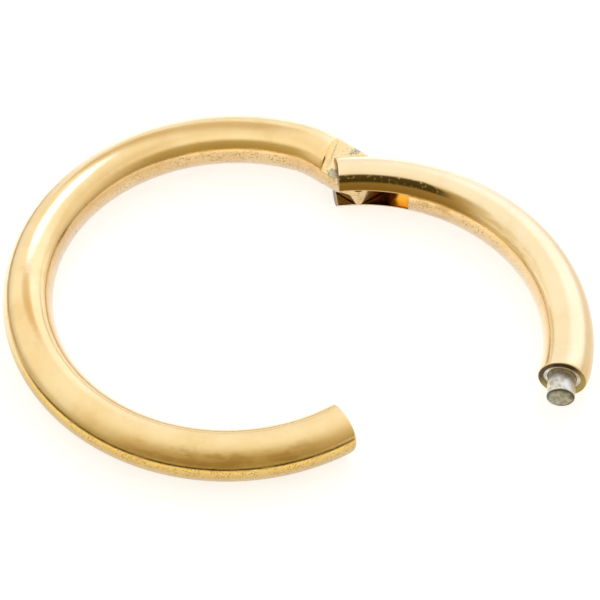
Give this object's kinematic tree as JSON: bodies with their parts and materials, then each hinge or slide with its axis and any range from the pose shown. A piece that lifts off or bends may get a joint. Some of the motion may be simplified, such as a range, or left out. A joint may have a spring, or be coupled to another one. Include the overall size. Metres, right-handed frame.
{
  "type": "hinged segment ring",
  "caption": "Round-wire body ring for a piercing: a fixed arc and a gate on a fork-and-tongue hinge that swings outwards, closed by a small pin that goes into a socket.",
  "frame": {"origin": "centre of the wire ring, in the middle plane of the wire", "axes": "+Z along the ring's axis, up as the ring lies on its side; +X across the ring towards the gate; +Y across the ring towards the hinge side"},
  "size_m": [0.0139, 0.0108, 0.0012],
  "materials": {
    "gold_ring": "polished gold-coloured coating on surgical steel",
    "steel": "plain turned steel",
    "gold_gate": "polished gold-coloured coating on surgical steel",
    "pin_steel": "bare, lightly mottled steel"
  },
  "bodies": {
    "ring": {"ring_arc": "gold_ring", "hinge_pin": "steel"},
    "gate": {"gate_arc": "gold_gate", "closing_pin": "pin_steel"}
  },
  "joints": [
    {"name": "gate_hinge", "type": "hinge", "parent": "ring", "child": "gate", "pos_m": [0.0035, 0.00336, 0], "axis": [0, 0, 1], "range_deg": [-40.8, 59.2]}
  ]
}
